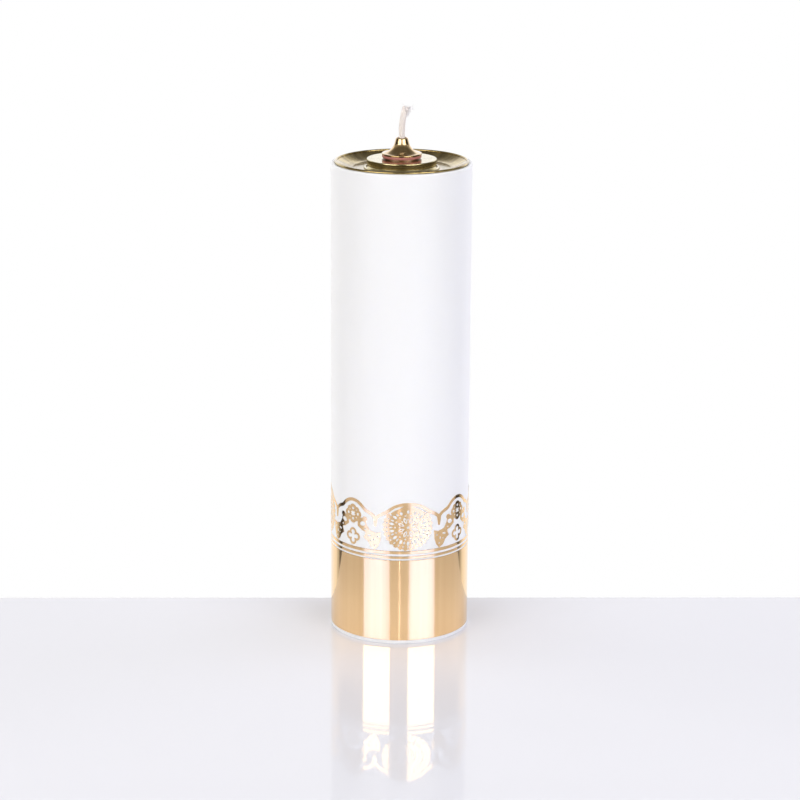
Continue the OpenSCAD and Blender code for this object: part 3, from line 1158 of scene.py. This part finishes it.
def make_burner():
    """The turned burner: a threaded shank, a flange, a hollowed skirt and a round nozzle."""
    shank_z = low("burner_cap")
    flange_r = radius("burner_cap")
    bore = SLEEVE_R + 0.05
    nozzle_r, tip = 3.5, 0.7
    depth = 0.6

    def groove(a, r, z):
        """External thread, cut into the shank."""
        if r < SHANK_R - 0.05 or not shank_z + 0.7 < z < BURNER_Z - 1.9:
            return r
        return r - depth * thread_wave(a, z)

    start_z = shank_z + 0.6
    outline = [(bore, shank_z), (SHANK_R - 0.6, shank_z)]
    outline += [(SHANK_R, start_z + (BURNER_Z - start_z) * i / 60) for i in range(61)]
    outline += [(flange_r, BURNER_Z, 0.12), (flange_r, BURNER_Z + 0.95, 0.3)]
    outline += arc(flange_r + 0.4, BURNER_Z + 8.7, 7.85, 261, 197, 28)
    outline += arc(nozzle_r - tip, MOUTH_Z - tip, tip, 8, 90, 8)
    outline += [(bore + 0.15, MOUTH_Z), (bore, MOUTH_Z - 0.15)]
    burner = lathe("burner_turned", rounded(outline), 192, groove)
    place(burner, "burner", BURNER_BRASS, "turned_brass", "burner_cap")


make_gasket()
make_sleeve()
make_burner()


# ---- stage, world and lights
def make_stage():
    """A glossy pale table whose far edge, a little askew, is level with the candle's back."""
    near, half, thick = -0.85, 0.85, 0.03
    far, skew = 0.040, 0.0197
    verts = [(x / MM, y / MM, z / MM) for z in (-thick, 0) for x, y in
             ((-half, near), (half, near), (half, far + skew * half), (-half, far - skew * half))]
    table = add_mesh("table", verts, tube_faces(2, 4))
    s = Shader("table_gloss")
    s.set(IOR=1.55, Specular_IOR_Level=0.5)
    s.feed(Base_Color=s.mix(s.noise(3, 2), (0.765, 0.762, 0.795), (0.775, 0.772, 0.805)),
           Roughness=s.spread(s.noise(40, 3), 0.03, 0.05))
    table.data.materials.append(s.material)
    return table


def make_world():
    """White paper behind the table, and a dim room with a lit strip of wall elsewhere."""
    world = bpy.data.worlds.new("studio")
    bpy.context.scene.world = world
    world.use_nodes = True
    w = Nodes(world.node_tree)

    def times(a, b):
        return w.math("MULTIPLY", a, b)

    # x, y and z are shares of a unit direction, so z is the sine of the height over the horizon
    x, y, z = w.split(w.add("ShaderNodeTexCoord").outputs["Generated"])
    room = w.mix(w.ramp(x, -0.9, 0.9), (0.33, 0.32, 0.30), (0.30, 0.305, 0.34))
    room = w.mix(w.ramp(z, 0.50, 0.72), room, (0.14, 0.135, 0.13))
    # Everything lower than 19 degrees is dim, and a bright strip lies just above that
    strip = times(w.ramp(z, 0.327, 0.335), w.ramp(z, 0.360, 0.354))
    room = w.mix(w.ramp(z, 0.327, 0.335), (0.045, 0.045, 0.05), room)
    room = w.mix(strip, room, (1.95, 1.95, 2.2))
    # The paper is full to 49 degrees on each side of straight behind and 23 degrees up, and
    # ends at 65 and 31 degrees. It is a little blue from the horizon to 13 degrees
    paper = times(w.ramp(y, 0.42, 0.66), w.ramp(z, 0.51, 0.39))
    near_horizon = times(w.ramp(z, 0.0, 0.05), w.ramp(z, 0.30, 0.22))
    white = w.mix(near_horizon, (1.05, 1.05, 1.05), (1.25, 1.28, 1.40))
    white = w.mix(w.ramp(z, 0.26, 0.32), white, (1.35, 1.35, 1.38))
    lit = w.mix(paper, room, white)
    seen = w.mix(w.add("ShaderNodeLightPath").outputs["Is Camera Ray"], lit, (1.0, 1.0, 1.0))
    w.link(seen, world.node_tree.nodes["Background"].inputs["Color"])


# Azimuths of the large softboxes, to the right of straight in front. Lights at one place hide
# each other in a mirror, so each kind stands at a distance of its own
LEFT = -39
RIGHT = 38


def softbox(name, azimuth, distance, watts, colour, height=0.525, width=1.24, tall=0.39,
            soft=False, receivers=()):
    """An area light aimed at the candle's axis, in metres. Surfaces mirror it, or where it is
    soft, they get its diffuse light. It lights the receivers only, where they are given."""
    data = bpy.data.lights.new(name, "AREA")
    data.shape = "RECTANGLE"
    data.size, data.size_y = width, tall
    data.energy = watts
    data.color = colour
    light = bpy.data.objects.new(name, data)
    bpy.context.scene.collection.objects.link(light)
    a = math.radians(azimuth)
    light.location = (math.sin(a) * distance, -math.cos(a) * distance, height)
    away = light.location - Vector((0, 0, 0.04))
    light.rotation_mode = "QUATERNION"
    light.rotation_quaternion = away.to_track_quat("Z", "Y")
    light.visible_camera = False
    light.visible_glossy = not soft
    light.visible_diffuse = soft
    if receivers:
        group = bpy.data.collections.new(name)
        for receiver in receivers:
            group.objects.link(receiver)
        light.light_linking.receiver_collection = group
    return data


def fade_sides(data):
    """Makes a softbox a little dimmer towards its two upright sides."""
    data.use_nodes = True
    n = Nodes(data.node_tree)
    across = n.split(n.add("ShaderNodeNewGeometry").outputs["Parametric"])[0]
    fade = n.add("ShaderNodeFloatCurve")
    points = fade.mapping.curves[0].points
    points[0].location = (0, 0.45)
    points[1].location = (1, 0.45)
    for share, level in ((0.12, 0.85), (0.3, 1.05), (0.7, 1.05), (0.88, 0.85)):
        points.new(share, level)
    fade.mapping.update()
    n.link(across, fade.inputs["Value"])
    n.link(fade.outputs[0], data.node_tree.nodes["Emission"].inputs["Strength"])


def make_lights(table):
    """Soft light for the pale surfaces, and the boxes that the foil and the metal mirror. The
    foil mirrors the table, and the table the bluish boxes, so that the gold turns cream."""
    pieces = [obj for obj in bpy.context.scene.objects if obj.type == "MESH" and obj is not table]
    warm, cool = (1.0, 0.985, 0.965), (0.975, 0.98, 1.0)
    pale, blue = (0.82, 0.82, 1.0), (0.36, 0.46, 1.0)
    for side, azimuth, colour, watts in (("left", LEFT, warm, 12.7), ("right", RIGHT, cool, 13.8)):
        softbox(f"key_{side}", azimuth, 1.50, 10.4, colour, soft=True)
        softbox(f"sheen_{side}", azimuth, 1.48, 8.0, colour, receivers=pieces)
        softbox(f"sheen_{side}_top", azimuth, 1.46, 3.6, pale, 0.87, tall=0.30)
        fade_sides(softbox(f"mirror_{side}", azimuth, 1.46, watts, blue, receivers=[table]))
    softbox("mirror_gap", 0.3, 1.46, 0.6, (0.9, 0.8, 1.0), 0.60, 0.016, 0.7, receivers=[table])
    softbox("fill_left", -112, 1.5, 7.4, (1.0, 0.985, 0.98), 0.30, 0.9, 0.9, soft=True)
    softbox("fill_right", 112, 1.5, 8.4, (0.80, 0.79, 1.0), 0.30, 0.9, 0.9, soft=True)
    softbox("fill_top", 0, 0.3, 14.5, (0.98, 0.98, 1.0), 1.9, 1.2, 1.2, soft=True)


make_world()
make_lights(make_stage())

bpy.context.scene.view_settings.view_transform = "Standard"
bpy.context.scene.view_settings.look = "None"
